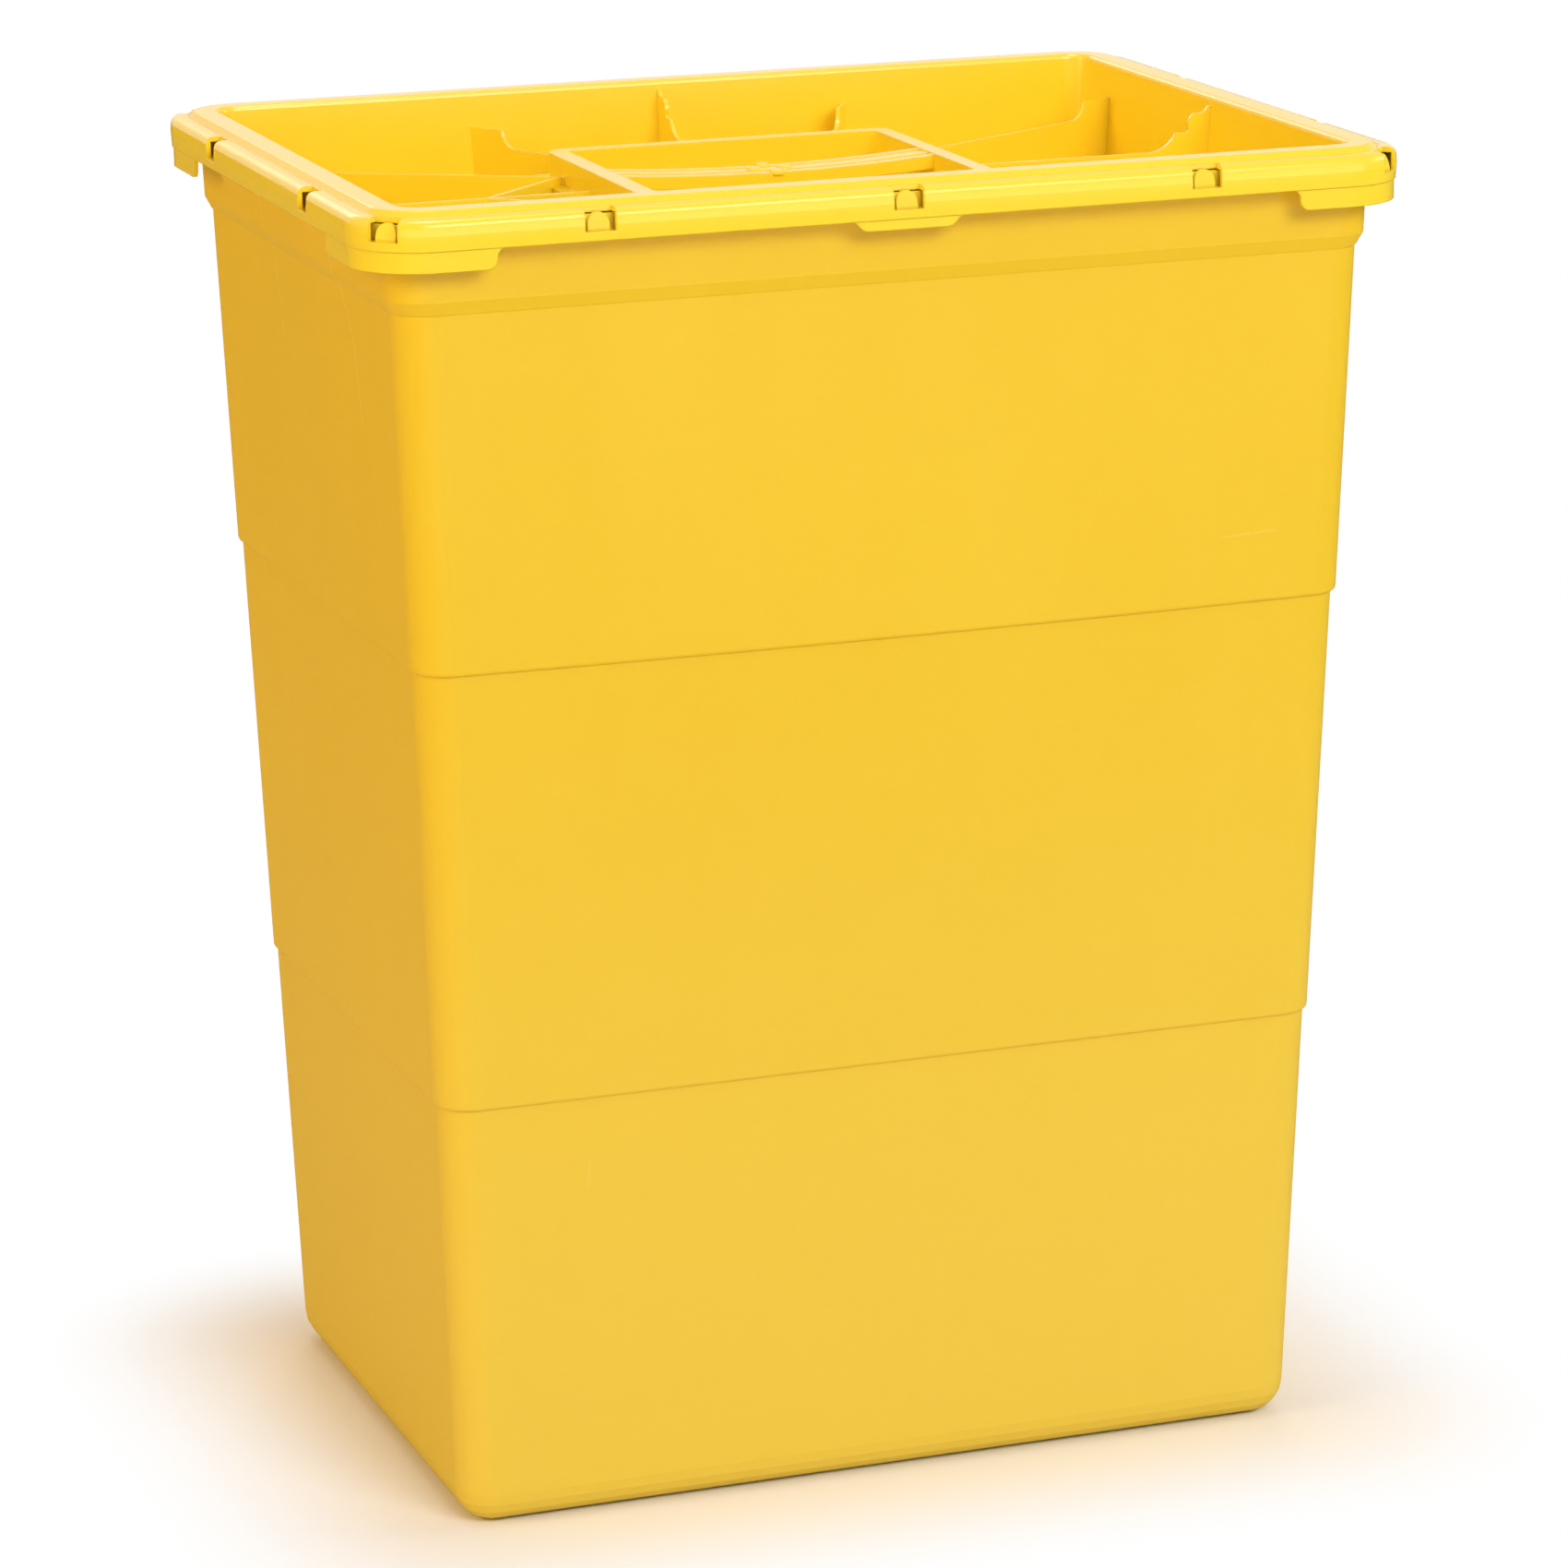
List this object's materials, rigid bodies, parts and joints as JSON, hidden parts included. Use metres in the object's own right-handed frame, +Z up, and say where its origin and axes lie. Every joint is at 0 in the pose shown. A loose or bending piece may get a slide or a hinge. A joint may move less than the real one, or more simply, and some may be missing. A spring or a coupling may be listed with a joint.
{
  "type": "medical waste container",
  "caption": "Deep tapered rectangular waste container in stepped tiers, with a clip-down lid that has a recessed well, stacking ribs and a crossbar grip.",
  "frame": {"origin": "middle of the base, on the floor", "axes": "+Z up, +X along the long walls, -Y out of the front long wall"},
  "size_m": [0.4, 0.297, 0.4986],
  "materials": {
    "body_plastic": "satin moulded polypropylene",
    "lid_plastic": "satin moulded polypropylene",
    "seal_rubber": "soft foam gasket"
  },
  "bodies": {
    "box": {"container_body": "body_plastic"},
    "cover": {"lid": "lid_plastic", "lid_seal": "seal_rubber"}
  },
  "joints": [
    {"name": "lid_lift", "type": "slide", "parent": "box", "child": "cover", "axis": [0, 0, 1], "range_m": [0, 0.12]}
  ]
}
